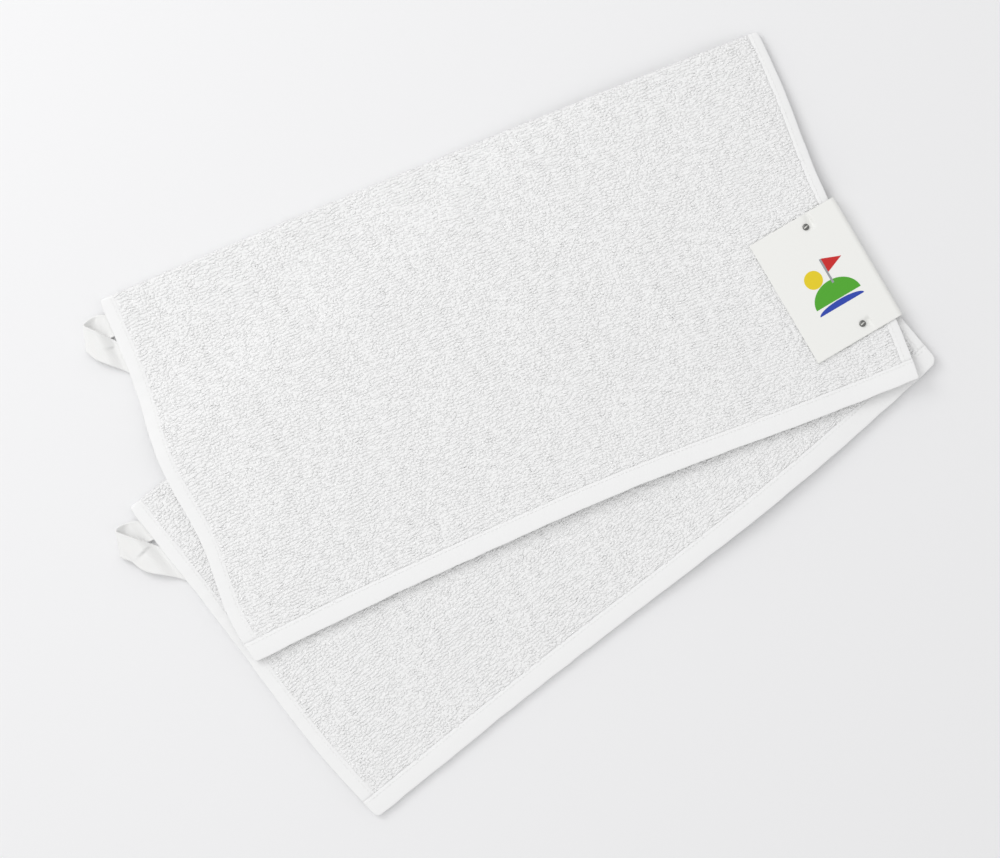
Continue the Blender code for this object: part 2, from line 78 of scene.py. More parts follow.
FAN_PIVOT = (0.208, 0.079)  # the place that both towels share, about which they are fanned out
PIVOT_FROM_RIGHT = 0.0218
PIVOT_FROM_HEM = 0.0693
UPPER_ANGLE = math.radians(22.7)
LOWER_ANGLE = math.radians(39.0)
DRAPE_RUN = 0.052           # distance over which the upper towel comes down beside the lower one
DRAPE_MARGIN = 0.004        # level border of the upper towel just outside the lower one

TAPE_WIDTH = 0.015
TAPE = 0.0009               # thickness of the tape
TAPE_ROOM = 0.0003          # between a sewn end of the tape and the hem over or under it
HEM = STACK / 2 - HEM_RECESS - TAPE / 2 - TAPE_ROOM         # thickness of a hem
TAPE_CURL = 0.0030          # radius of the curl where the tape turns back
TAPE_REST = 0.0002          # height of the tape's lower run over the surface
HINGE_OUT = 0.0014          # from the hem's edge to the line about which a loop swings
TAIL_INSET = 0.0007         # from the sewn ends to the inner edge of the side hem
LOWER_RUN_SETTLE = 0.006    # over which the lower run sinks from the hem to the surface
UPPER_RUN_SETTLE = 0.0085   # over which the upper run rises from the hem
HEM_CHORD = 0.036           # stretch of the side hem to which a loop's directions are squared

CARD_LENGTH = 0.0862        # along its spine
CARD_WIDTH = 0.0617         # from the spine to the free edges
CARD_STOCK = 0.0005         # thickness of the card
CARD_ANGLE = math.radians(30.5)
CARD_FROM_PIVOT = 0.0149    # from the pivot to the card's middle, towards the fold, along the spine
CARD_EDGE_ROOM = 0.0011     # from the cloth's outermost edge to the inside of the spine
CARD_RUN = 0.028            # distance over which the lower towel climbs onto the card's back panel
CARD_GAP = 0.0003           # between the card's back panel and what lies on either side of it
EDGE_SAMPLES = 60           # places along an edge at which the card looks for the cloth
PIN_FROM_SPINE = 0.0249
PIN_FROM_END = 0.0078
CAP = 0.0006                # thickness of the cap behind each pin


@dataclass(frozen=True)
class Towel:
    """How one towel lies. Lengths in metres; shares run from 0 to 1 along a and b."""
    name: str
    angle: float
    fold_right: tuple       # how far each corner slid along a and b from a true rectangle
    hem_left: tuple
    hem_right: tuple
    fold_wave: tuple        # outward bow of each edge, as the sizes of 1, 2, 3 and more half waves
    hem_wave: tuple
    left_wave: tuple
    right_wave: tuple
    lifts: tuple            # share of a, share of b, height, reach along a, reach along b


@dataclass(frozen=True)
class Loop:
    """How one hanging loop lies, measured from its towel's fold corner along the side hem."""
    towel: Towel
    near_edge: float
    root_gap: float
    lean: float
    slant: float
    belly: float            # how far the far edge of the upper run bulges
    tuck: tuple             # the upper run's pinched fold: place along and out, way, step, half length


UPPER = Towel(
    name="upper", angle=UPPER_ANGLE,
    fold_right=(-0.0045, 0.0038), hem_left=(0.0038, 0.0), hem_right=(0.0042, -0.0043),
    fold_wave=(0.0020,), hem_wave=(-0.0070, -0.0007, 0.0005, -0.0005),
    left_wave=(0.0042, -0.0006, -0.0003, -0.0018, 0.0010), right_wave=(-0.0020, -0.0017, 0.0021),
    lifts=((0.55, 1.0, 0.0016, 0.090, 0.030), (1.0, 1.0, 0.0026, 0.042, 0.024)))
LOWER = Towel(
    name="lower", angle=LOWER_ANGLE,
    fold_right=(-0.0040, 0.0030), hem_left=(-0.0010, 0.0017), hem_right=(0.0016, 0.0),
    fold_wave=(0.0,), hem_wave=(0.0035, -0.0023, 0.0004),
    left_wave=(0.0023, -0.0016, 0.0004), right_wave=(0.0,),
    lifts=((0.68, 1.0, 0.0034, 0.075, 0.035), (1.0, 1.0, 0.0024, 0.040, 0.026)))
LOOPS = (
    Loop(towel=UPPER, near_edge=0.0102, root_gap=0.00125, lean=math.radians(2.0), slant=math.radians(25.0),
         belly=0.0016, tuck=(0.0310, 0.0040, math.radians(10), 0.0014, 0.0040)),
    Loop(towel=LOWER, near_edge=0.0102, root_gap=0.0029, lean=math.radians(-15.0), slant=math.radians(21.5),
         belly=0.0032, tuck=(0.0276, 0.0095, math.radians(-5), 0.0016, 0.0050)))


# ---------------------------------------------------------------- places on the towels

def smooth(x):
    """A soft step: 0 up to 0, 1 from 1, and level at both."""
    x = np.clip(x, 0.0, 1.0)
    return x * x * (3.0 - 2.0 * x)


def half_waves(share, sizes):
    """A sum of half waves that is zero at both ends of an edge."""
    return sum(size * np.sin((k + 1) * math.pi * share) for k, size in enumerate(sizes))


def fold_corner(towel):
    """The fold's loop end, placed so that the pivot's place in the towel is at the fan's pivot."""
    a = TOWEL_LENGTH - PIVOT_FROM_RIGHT
    b = FOLDED_DEPTH - PIVOT_FROM_HEM
    c, s = math.cos(towel.angle), math.sin(towel.angle)
    return FAN_PIVOT[0] - a * c - b * s, FAN_PIVOT[1] - a * s + b * c


def plan(towel, a, b):
    """x and y of a place on a towel: its rectangle, with slid corners and bowed edges."""
    u = a / TOWEL_LENGTH
    v = b / FOLDED_DEPTH
    slide = [u * (1 - v) * towel.fold_right[i] + (1 - u) * v * towel.hem_left[i]
             + u * v * towel.hem_right[i] for i in (0, 1)]
    along = a + slide[0] - (1 - u) * half_waves(v, towel.left_wave)
    along = along + u * half_waves(v, towel.right_wave)
    across = b + slide[1] - (1 - v) * half_waves(u, towel.fold_wave)
    across = across + v * half_waves(u, towel.hem_wave)
    x0, y0 = fold_corner(towel)
    c, s = math.cos(towel.angle), math.sin(towel.angle)
    return x0 + along * c + across * s, y0 + along * s - across * c


def unplan(towel, x, y):
    """Places a and b under a point, leaving out the slides and bows."""
    x0, y0 = fold_corner(towel)
    c, s = math.cos(towel.angle), math.sin(towel.angle)
    return (x - x0) * c + (y - y0) * s, (x - x0) * s - (y - y0) * c


def lift(towel, a, b):
    """Height by which a towel's waves stand off what is under it."""
    a = np.clip(a, 0.0, TOWEL_LENGTH)
    b = np.clip(b, 0.0, FOLDED_DEPTH)
    return sum(h * np.exp(-((a - u * TOWEL_LENGTH) / run_a) ** 2 - ((b - v * FOLDED_DEPTH) / run_b) ** 2)
               for u, v, h, run_a, run_b in towel.lifts)


def beyond(x, y, half_x, half_y):
    """Distance outside a rectangle centred at zero."""
    return np.hypot(np.maximum(np.abs(x) - half_x, 0.0), np.maximum(np.abs(y) - half_y, 0.0))


def card_axes():
    """Unit directions in plan: from the card's free edge to its spine, and along the spine."""
    c, s = math.cos(CARD_ANGLE), math.sin(CARD_ANGLE)
    return np.array((c, s)), np.array((-s, c))


def card_middle():
    """Middle of the card in plan, its spine just outside the outermost edge it wraps."""
    out, up = card_axes()
    along = float(np.dot(FAN_PIVOT, up)) + CARD_FROM_PIVOT
    edge = []
    for towel in (UPPER, LOWER):
        points = np.array(plan(towel, TOWEL_LENGTH, np.linspace(0.0, FOLDED_DEPTH, EDGE_SAMPLES)))
        near = np.abs(up @ points - along) < CARD_LENGTH / 2 + SEAM_GAP
        edge.append((out @ points)[near].max())
    spine = max(edge) + CARD_EDGE_ROOM + CARD_STOCK
    return out * (spine - CARD_WIDTH / 2) + up * along


CARD_OUT, CARD_UP = card_axes()
CARD_MIDDLE = card_middle()


def on_card(x, y):
    """Distances of a point from the card's middle: towards its spine, and along its spine."""
    dx, dy = x - CARD_MIDDLE[0], y - CARD_MIDDLE[1]
    return dx * CARD_OUT[0] + dy * CARD_OUT[1], dx * CARD_UP[0] + dy * CARD_UP[1]


def lower_base(x, y):
    """Height of the lower towel's underside: it climbs on to the card's back panel."""
    climb = CAP + CARD_GAP + CARD_STOCK + CARD_GAP
    share = 1.0 - smooth(beyond(*on_card(x, y), CARD_WIDTH / 2, CARD_LENGTH / 2) / CARD_RUN)
    return climb * share + lift(LOWER, *unplan(LOWER, x, y))


def upper_base(x, y):
    """Height of the upper towel's underside: over the lower towel, and down beside it."""
    a, b = unplan(LOWER, x, y)
    outside = beyond(a - TOWEL_LENGTH / 2, b - FOLDED_DEPTH / 2, TOWEL_LENGTH / 2, FOLDED_DEPTH / 2)
    over = 1.0 - smooth((outside - DRAPE_MARGIN) / DRAPE_RUN)
    return over * (lower_base(x, y) + STACK + TOWEL_GAP) + lift(UPPER, *unplan(UPPER, x, y))


def base(towel, x, y):
    """Height of a towel's underside."""
    return upper_base(x, y) if towel is UPPER else lower_base(x, y)


def on_towel(towel, a, b, height):
    """Points at places a, b and at a height above the towel's underside."""
    x, y = plan(towel, a, b)
    return np.stack([x, y, base(towel, x, y) + height], axis=-1)


def on_fold(towel, a, p, n):
    """Points round the folded section: two level leaves joined by a half circle."""
    turn = np.clip(p / FOLD_RADIUS, -math.pi / 2, math.pi / 2)
    past = np.maximum(np.abs(p) - QUARTER, 0.0)
    radius = FOLD_RADIUS + n
    return on_towel(towel, a, FOLD_RADIUS - radius * np.cos(turn) + past, FOLD_RADIUS + radius * np.sin(turn))


def path_of(b):
    """Length p round the section of a place b on the upper leaf."""
    return b - FOLD_RADIUS + QUARTER


# ---------------------------------------------------------------- meshes

PIN_PLACES = [CARD_MIDDLE + CARD_OUT * (CARD_WIDTH / 2 - PIN_FROM_SPINE)
              + CARD_UP * side * (CARD_LENGTH / 2 - PIN_FROM_END) for side in (1, -1)]


def frame_shift():
    """From this script's plan to the frame: a pin's own place in both tells it."""
    low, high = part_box("card_pin_upper")
    middle = (low + high) / 2
    return np.array((middle.x - PIN_PLACES[0][0], middle.y - PIN_PLACES[0][1], 0.0))


SHIFT = frame_shift()


def outward(points, faces):
    """Triangles of a closed piece, all turned over if they enclose less than nothing, to face outwards."""
    first, second, third = (points[faces[:, i]] for i in range(3))
    volume = np.sum(first * np.cross(second, third))
    return faces if volume > 0.0 else faces[:, ::-1]


def add_mesh(name, points, faces, finish, body="root", slot=None, flags=None, flat=False):
    """A piece from points and equal-sided faces, on one body. Flags are point attributes.

    Faces of three sides are a closed piece's, and are turned outwards; the floor's has four.
    """
    points = points.reshape(-1, 3) + SHIFT
    if faces.shape[1] == 3:
        faces = outward(points, faces)
    count, sides = faces.shape
    mesh = bpy.data.meshes.new(name)
    mesh.vertices.add(len(points))
    mesh.vertices.foreach_set("co", points.astype(np.float32).ravel())
    mesh.loops.add(faces.size)
    mesh.loops.foreach_set("vertex_index", faces.astype(np.int32).ravel())
    mesh.polygons.add(count)
    mesh.polygons.foreach_set("loop_start", np.arange(0, faces.size, sides, dtype=np.int32))
    for label, values in (flags or {}).items():
        attribute = mesh.attributes.new(label, "FLOAT", "POINT")
        attribute.data.foreach_set("value", values.astype(np.float32).ravel())
    mesh.update(calc_edges=True)
    if flat:
        mesh.shade_flat()
    else:
        mesh.shade_smooth()
    mesh.materials.append(finish)
    piece = bpy.data.objects.new(name, mesh)
    bpy.context.scene.collection.objects.link(piece)
    if body:
        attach(piece, body)
    return piece


def triangles(quads):
    """Two triangles from each quad."""
    return np.concatenate([quads[:, [0, 1, 2]], quads[:, [0, 2, 3]]])


def tube_faces(rings, around):
    """Triangles of a closed tube: quads between rings of points, and a fan on each end's middle point.

    Points are numbered ring by ring, then the first end's middle and the last end's middle.
    """
    index = np.arange(rings * around).reshape(rings, around)
    after = np.roll(index, -1, axis=1)
    quads = np.stack([index[:-1], after[:-1], after[1:], index[1:]], -1).reshape(-1, 4)
    first, last = rings * around, rings * around + 1
    start = np.stack([after[0], index[0], np.full(around, first)], -1)
    end = np.stack([index[-1], after[-1], np.full(around, last)], -1)
    return np.concatenate([triangles(quads), start, end])


def tube(name, rings, finish, **rest):
    """A closed tube from an array of rings of points."""
    faces = tube_faces(*rings.shape[:2])
    points = np.concatenate([rings.reshape(-1, 3), rings[[0, -1]].mean(axis=1)])
    return add_mesh(name, points, faces, finish, **rest)


def sheet_solid(name, outer, inner, finish, **rest):
    """A closed sheet between two matching grids, whose outer face is seen from outside."""
    rows, cols = outer.shape[:2]
    index = np.arange(rows * cols).reshape(rows, cols)
    quads = np.stack([index[:-1, :-1], index[1:, :-1], index[1:, 1:], index[:-1, 1:]], -1).reshape(-1, 4)
    rim = np.concatenate([index[0, :-1], index[:-1, -1], index[-1, :0:-1], index[:0:-1, 0]])
    step = np.roll(rim, -1)
    far = rows * cols
    sides = np.stack([rim, step, step + far, rim + far], -1)
    faces = triangles(np.concatenate([quads, quads[:, ::-1] + far, sides]))
    return add_mesh(name, np.concatenate([outer.reshape(-1, 3), inner.reshape(-1, 3)]), faces, finish, **rest)


DRIFT_SINES = 9
DRIFT_STRETCH = (0.6, 1.6)  # shortest and longest of the sines, as shares of the wavelength


def drift(x, y, length, seed):
    """Soft irregular waves, mostly from -1 to 1: twice the mean of sines turned and stretched at random."""
    rng = np.random.default_rng(seed)
    turns, phases = rng.uniform(0, math.tau, (2, DRIFT_SINES))
    total = 0.0
    for turn, phase, stretch in zip(turns, phases, rng.uniform(*DRIFT_STRETCH, DRIFT_SINES)):
        wave = math.tau / (length * stretch)
        total = total + np.sin(wave * (x * math.cos(turn) + y * math.sin(turn)) + phase)
    return total / (DRIFT_SINES / 2)


# ---------------------------------------------------------------- materials

def linear(colour):
    """Linear colour from an sRGB hex value."""
    parts = [int(colour[i:i + 2], 16) / 255 for i in (0, 2, 4)]
    return tuple(c / 12.92 if c <= 0.04045 else ((c + 0.055) / 1.055) ** 2.4 for c in parts)


class Finish:
    """A named material and its node tree."""

    def __init__(self, name, colour, **settings):
        self.material = bpy.data.materials.new(name)
        self.material.use_nodes = True
        self.tree = self.material.node_tree
        self.shader = self.tree.nodes["Principled BSDF"]
        self.shader.inputs["Base Color"].default_value = (*linear(colour), 1.0)
        for key, value in settings.items():
            self.shader.inputs[key.replace("_", " ")].default_value = value

    def node(self, kind, links=None, **settings):
        """A node with its settings and its inputs: {input: (node, output) or value}."""
        made = self.tree.nodes.new(kind)
        for key, value in settings.items():
            setattr(made, key, value)
        for key, value in (links or {}).items():
            if isinstance(value, tuple) and hasattr(value[0], "outputs"):
                self.tree.links.new(value[0].outputs[value[1]], made.inputs[key])
            else:
                made.inputs[key].default_value = value
        return made

    def join(self, node, output, key):
        """Links a node's output to the shader."""
        self.tree.links.new(node.outputs[output], self.shader.inputs[key])


def bump(finish, height, distance):
    """Joins a bump to the shader, from a height (node, output) and its distance in metres."""
    made = finish.node("ShaderNodeBump", {"Height": height, "Distance": distance, "Strength": 1.0})
    finish.join(made, "Normal", "Normal")


def grain(finish, size, detail, roughness, distance):
    """Joins an irregular fine grain to the shader as a bump. Size and distance are in metres."""
    place = finish.node("ShaderNodeTexCoord")
    noise = finish.node("ShaderNodeTexNoise", {"Vector": (place, "Object"), "Scale": 1 / size,
                                               "Detail": detail, "Roughness": roughness})
    bump(finish, (noise, "Fac"), distance)


def terry_finish():
    """Bleached cotton terry: looped yarn that scatters light softly, with pale fuzz."""
    finish = Finish("bleached_terry_cotton", "f5f5f5", Roughness=0.95, Specular_IOR_Level=0.2,
                    Sheen_Weight=0.12, Sheen_Roughness=0.6)
    # yarn plies are about 0.4 mm thick, and a grain of 0.8 mm holds a light and a dark one
    grain(finish, 0.0008, 2.0, 0.6, 0.00025)
    return finish.material


def hem_finish():
    """Plain woven cotton hem: smooth, flat and a little brighter than the loops beside it."""
    finish = Finish("woven_cotton_hem", "f5f5f5", Roughness=0.85, Specular_IOR_Level=0.25, Sheen_Weight=0.08)
    # threads are 0.35 mm apart; drawn coarser, as a grain of 1.4 mm, so that they show
    grain(finish, 0.0014, 3.0, 0.65, 0.00010)
    return finish.material


def tape_finish():
    """Woven cotton tape with a fine twill: slanted ribs across its width."""
    finish = Finish("cotton_twill_tape", "f6f6f5", Roughness=0.8, Specular_IOR_Level=0.25)
    across = finish.node("ShaderNodeAttribute", attribute_name="tape_across")
    along = finish.node("ShaderNodeAttribute", attribute_name="tape_along")
    slanted = finish.node("ShaderNodeMath", {0: (across, "Fac"), 1: (along, "Fac")}, operation="ADD")
    # ribs are 1.1 mm apart along the tape
    turns = finish.node("ShaderNodeMath", {0: (slanted, "Value"), 1: math.tau / 0.0011}, operation="MULTIPLY")
    ribs = finish.node("ShaderNodeMath", {0: (turns, "Value")}, operation="SINE")
    bump(finish, (ribs, "Value"), 0.00005)
    return finish.material


def thread_finish():
    """Spun sewing thread, white and faintly glossy."""
    return Finish("white_sewing_thread", "f7f7f6", Roughness=0.6).material


def card_finish():
    """Uncoated card: smooth, off-white, with a very faint pulp grain."""
    finish = Finish("offwhite_card", "f4f4f1", Roughness=0.55, Specular_IOR_Level=0.35)
    # pulp fibres clump at about 0.9 mm
    grain(finish, 0.0009, 4.0, 0.7, 0.00002)
    return finish.material


def ink_finish(name, colour):
    """Flat printing ink on card."""
    return Finish("ink_" + name, colour, Roughness=0.5).material


def nickel_finish():
    """Dark nickel plate: a dark, softly mirrored metal."""
    return Finish("dark_nickel", "747472", Roughness=0.35, Metallic=1.0).material


def painted_highlight_nickel_finish():
    """Nickel in a lighter colour: a painted highlight along a raised edge."""
    return Finish("worn_nickel", "d0d0cc", Roughness=0.35, Metallic=0.6).material


TERRY_FINISH = terry_finish()
HEM_FINISH = hem_finish()
TAPE_FINISH = tape_finish()
THREAD_FINISH = thread_finish()
CARD_FINISH = card_finish()
NICKEL_FINISH = nickel_finish()
# a lighter copy of the nickel, used as a painted highlight on the pins' ridges
PAINTED_HIGHLIGHT_FINISH = painted_highlight_nickel_finish()

# ---------------------------------------------------------------- terry

GROUND_SINK = 0.00072       # from the loops' tops down to the woven ground
GROUND_CELL = 0.0024
SWELL = 0.00012             # height of the ground's low waves
SEWN = 0.0006               # how far the ground is caught in the hems
ROUND_FOLD = 10             # cells of the ground round the fold
PRESS = 0.0006              # how far the cloth is pressed down under the card, to make room for its dips
PRESS_IN = 0.006            # from the card's edges in to the pressed patch
PRESS_RUN = 0.004           # over which the press fades out
LOOP_ROW = 0.00205          # between rows of loops, which run along the fold
LOOP_STEP = 0.0020          # between loops in a row
LOOP_SPREAD = 0.0032        # length of a loop, which overlaps its neighbours
LOOP_WIDTH = 0.0013
LOOP_SINK = 0.00012         # how far a loop's foot is in the ground
ROW_JITTER = (0.12, 0.24)   # of a loop across its row, and of the row itself, as shares of LOOP_ROW
STATIONS = np.array((-0.32, 0.0, 0.32))     # places along a loop, as shares of its length
STATION_RISE = np.array((0.78, 1.0, 0.78))
SECTION = np.array(((-0.5, 0.0), (-0.30, 0.80), (0.22, 1.0), (0.5, 0.0)))   # across, share of the rise
LOOP_POINTS = STATIONS.size * len(SECTION) + 2
END_RISE = 0.12             # height of a loop's two end points, as a share of its rise
LOOPS_PER_PIECE = 8000      # 24 triangles each
YAW = 0.15                  # spread of the loops' directions, in radians
YAW_WILD = (0.5, 1.9)       # share of that spread in an even patch, and what a wild patch adds
YAW_DRIFT = 0.20            # slow turn of the rows, in radians
SPREADS = (0.20, 0.15, 0.12)        # of the loops' lengths, widths and sideways bends, as shares
WILD_SHORTER = 0.25         # share by which a loop is shorter in a wild patch
CALM_WIDER = 0.45           # share by which a loop is wider in a calm patch
CALM_EVEN = 0.8             # share of the unevenness in height that a calm patch takes away
UNEVEN = (-0.42, 0.20)      # lowest and highest loops, as shares of the rise
UNDER_FOLD = 0.006          # how far round the fold loops are drawn on the underside
CALM_END = 0.020            # width of the worn, even strip of loops along the card end
HEM_FUZZ = 0.0007           # how far the last loops stray over a hem's edge
END_FUZZ = 0.0004           # how far they all reach over the end hem's edge
CARD_COVERS = 0.004         # from the card's edges in to where no loop is seen
TOWEL_COVERS = (0.018, 0.018, 0.018, 0.022)     # the same from the upper towel's ends, fold and open edge

# soft irregular waves of the cloth: wavelength and seed
SWELL_WAVES = (0.009, 3)
ROW_WAVES = (0.011, 5)
FUZZ_WAVES = (0.012, 7)
WILD_WAVES = (0.05, 11)
YAW_WAVES = (0.02, 17)
CALM_WAVES = (0.026, 29)


def press(x, y):
    """How far the cloth is pressed down under the card: a level patch with soft borders."""
    outside = beyond(*on_card(x, y), CARD_WIDTH / 2 - PRESS_IN, CARD_LENGTH / 2 - PRESS_IN)
    return PRESS * (1.0 - smooth(outside / PRESS_RUN))


def terry_ground(towel):
    """The woven ground of a towel: a folded sheet that follows both leaves, with soft low waves."""
    cells = round(TOWEL_LENGTH / GROUND_CELL)
    a = np.linspace(LEFT_HEM - SEWN, TOWEL_LENGTH - RIGHT_HEM + SEWN, cells)[:, None]
    end = path_of(FOLDED_DEPTH - END_HEM) + SEWN
    leaf = np.linspace(end, QUARTER, round(FOLDED_DEPTH / GROUND_CELL))
    turn = np.linspace(QUARTER, -QUARTER, ROUND_FOLD + 1)[1:-1]
    p = np.concatenate([leaf, turn, -leaf[::-1]])[None, :]
    x, y = plan(towel, a, np.abs(p))
    sunk = press(x, y) * (p > 0) if towel is UPPER else 0.0
    swell = SWELL * drift(x, y, *SWELL_WAVES) * (p > 0)
    outer = on_fold(towel, a, p, -GROUND_SINK + swell - sunk)
    inner = on_fold(towel, a, p, -TERRY + 0.0 * p - 0.5 * sunk)
    return sheet_solid(towel.name + "_terry_ground", outer, inner, TERRY_FINISH, slot="white_terry_cotton")


def loop_places(rng):
    """Where the loops stand: jittered rows along the fold, over the upper leaf and round the fold."""
    end = path_of(FOLDED_DEPTH - END_HEM)
    rows = np.arange(-QUARTER - UNDER_FOLD, end + HEM_FUZZ, LOOP_ROW)
    steps = np.arange(LEFT_HEM - HEM_FUZZ, TOWEL_LENGTH - RIGHT_HEM + HEM_FUZZ, LOOP_STEP)
    a, p = np.meshgrid(steps, rows)
    a = a + LOOP_STEP * rng.uniform(-0.5, 0.5, a.shape)
    p = p + LOOP_ROW * (rng.normal(0.0, ROW_JITTER[0], a.shape) + ROW_JITTER[1] * drift(a, p, *ROW_WAVES))
    fuzz = HEM_FUZZ * drift(a, p, *FUZZ_WAVES)
    inside = (a > LEFT_HEM - fuzz) & (a < TOWEL_LENGTH - RIGHT_HEM + fuzz) & (p < end + END_FUZZ + fuzz)
    return a[inside], p[inside]


def seen(towel, a, p):
    """Loops that can be seen: not under the card, nor under the other towel."""
    x, y = plan(towel, a, np.maximum(np.abs(p) - QUARTER + FOLD_RADIUS, 0.0))
    s, t = on_card(x, y)
    shown = (np.abs(s) > CARD_WIDTH / 2 - CARD_COVERS) | (np.abs(t) > CARD_LENGTH / 2 - CARD_COVERS)
    if towel is LOWER:
        ua, ub = unplan(UPPER, x, y)
        left, right, fold, edge = TOWEL_COVERS
        covered = (ua > left) & (ua < TOWEL_LENGTH - right) & (ub > fold) & (ub < FOLDED_DEPTH - edge)
        shown &= ~covered
    return shown


def terry_loops(towel, seed):
    """The loops of the pile. Each is a low arched ridge: four points round by three stations, closed ends."""
    rng = np.random.default_rng(seed)
    a, p = loop_places(rng)
    keep = seen(towel, a, p)
    a, p = a[keep], p[keep]
    count = a.size
    x, y = plan(towel, a, np.abs(p))
    wild = smooth(0.5 + 0.9 * drift(x, y, *WILD_WAVES))
    yaw = rng.normal(0.0, YAW, count) * (YAW_WILD[0] + YAW_WILD[1] * wild)
    yaw = yaw + YAW_DRIFT * drift(x, y, *YAW_WAVES)
    length = LOOP_SPREAD * np.exp(rng.normal(0.0, SPREADS[0], count)) * (1.0 - WILD_SHORTER * wild)
    width = LOOP_WIDTH * np.exp(rng.normal(0.0, SPREADS[1], count))
    # calm patches: loops of one height, wide enough to close up
    edge = smooth(1.0 - (TOWEL_LENGTH - RIGHT_HEM - a) / CALM_END)
    calm = np.clip(smooth(0.35 + 1.5 * drift(x, y, *CALM_WAVES)) + edge, 0.0, 1.0)
    width = width * (1.0 + CALM_WIDER * calm)
    rise = GROUND_SINK * (1.0 + (1.0 - CALM_EVEN * calm) * rng.uniform(*UNEVEN, count))
    rise = np.where(p < 0.0, np.minimum(rise, GROUND_SINK), rise)
    bend = rng.normal(0.0, SPREADS[2], count)
    # local coordinates of the points: along, across, up; the two end points come last
    along = np.concatenate([np.repeat(STATIONS, len(SECTION)), (-0.5, 0.5)])[None, :] * length[:, None]
    across = np.concatenate([np.tile(SECTION[:, 0], STATIONS.size), (0.0, 0.0)])[None, :] * width[:, None]
    across = across + bend[:, None] * (1.0 - (2 * along / length[:, None]) ** 2) * length[:, None]
    shape = np.concatenate([(STATION_RISE[:, None] * SECTION[:, 1]).ravel(), (END_RISE, END_RISE)])[None, :]
    up = shape * (rise + LOOP_SINK)[:, None] - LOOP_SINK - GROUND_SINK
    cos, sin = np.cos(yaw)[:, None], np.sin(yaw)[:, None]
    pa = a[:, None] + along * cos - across * sin
    pp = p[:, None] + along * sin + across * cos
    points = on_fold(towel, pa, pp, up)
    faces = tube_faces(STATIONS.size, len(SECTION))
    pieces = []
    for number, start in enumerate(range(0, count, LOOPS_PER_PIECE)):
        part = points[start:start + LOOPS_PER_PIECE]
        every = (faces[None, :, :] + LOOP_POINTS * np.arange(len(part))[:, None, None]).reshape(-1, 3)
        pieces.append(add_mesh("%s_pile_%d" % (towel.name, number + 1), part, every, TERRY_FINISH,
                               slot="white_terry_cotton"))
    return pieces


# ---------------------------------------------------------------- hems

HEM_AROUND = 20             # points round a hem's section
HEM_CELL = 0.0022
HEM_SQUARE = 0.45           # how square the corners of a hem's section are: 1 is round, 0 is a box
HEM_CROWN = 0.15            # share of its thickness that a hem loses towards its edges
HEM_SEWN = 0.40             # share that it also loses where it is sewn down
HEM_TUCK = 0.0008           # how far a side hem's ends run under the end hems
TUCK_PRESS = 0.0001         # how far they are pressed down there
HEM_LAP = 0.0002            # from the terry's edge to an end hem
CORNER_WORN = 0.0013        # how far the corners at the fold are rubbed round
CORNER_RUN = 0.0040
CORNER_ROUND = {"upper": (0.0020, 0.0012), "lower": (0.0035, 0.0055)}   # at the loop end and the card end
CORNER_ROWS = 9
END_TAPER = (0.0004, 0.0012)        # how soon an end hem thins towards its ends, and over what length
END_SLIVER = 0.02           # turn, in radians, left at the end of a rounded corner
EDGE_STRAY = 0.00025        # how far an end hem's free edge strays
SIDE_STRAY = 0.03           # share by which a side hem's width varies

# puckers of the hems: height, wavelength and seed; and the waves of their edges: wavelength and seed
SIDE_PUCKERS = ((0.00010, 0.009, 31), (0.00006, 0.004, 37))
END_PUCKERS = ((0.00010, 0.010, 43), (0.00007, 0.0045, 47))
SIDE_EDGE_WAVES = (0.02, 41)
END_EDGE_WAVES = (0.03, 53)


def rounded(around, squareness):
    """A flattened ring, from -1 to 1 both ways: the cosine and sine, each raised to a low power."""
    turn = np.arange(around) / around * math.tau
    c, s = np.cos(turn), np.sin(turn)
    return np.sign(c) * np.abs(c) ** squareness, np.sign(s) * np.abs(s) ** squareness


def hem_section(inner):
    """A hem's thickness across it, as a share: full, round at its free edge, drawn down where it is sewn."""
    return 1 - HEM_CROWN * inner ** 4 - HEM_SEWN * smooth((inner - 0.5) / 0.5)


def puckers(along, waves):
    """Height of a hem's puckers along it: a sum of soft irregular waves."""
    return sum(height * drift(along, 0 * along, length, seed) for height, length, seed in waves)


def side_hem(towel, left):
    """A side hem: a flattened ring carried round the whole folded section, gently puckered."""
    wide = LEFT_HEM if left else RIGHT_HEM
    middle = wide / 2 if left else TOWEL_LENGTH - wide / 2
    end = path_of(FOLDED_DEPTH - END_HEM)
    leaf = np.linspace(end + HEM_TUCK, QUARTER, round(FOLDED_DEPTH / HEM_CELL))
    turn = np.linspace(QUARTER, -QUARTER, ROUND_FOLD + 2)[1:-1]
    p = np.concatenate([leaf, turn, -leaf[::-1]])[:, None]
    c, d = rounded(HEM_AROUND, HEM_SQUARE)
    tucked = smooth((np.abs(p) - end + HEM_TUCK) / (2 * HEM_TUCK))
    inner = c if left else -c
    a = middle + wide / 2 * c[None, :] * (1 + SIDE_STRAY * drift(p, 0 * p, *SIDE_EDGE_WAVES))
    worn = CORNER_WORN * np.exp(-(p / CORNER_RUN) ** 2) * np.maximum(-inner, 0.0)[None, :]
    a = a + (worn if left else -worn)
    half = HEM / 2 * hem_section(inner)[None, :] * (1 - 0.5 * tucked)
    n = -HEM_RECESS - HEM / 2 + half * d[None, :] + puckers(p, SIDE_PUCKERS) * (p > 0) - TUCK_PRESS * tucked
    side = "left" if left else "right"
    return tube(towel.name + "_side_hem_" + side + "_cloth", on_fold(towel, a, p, n), HEM_FINISH,
                slot="white_woven_hem")


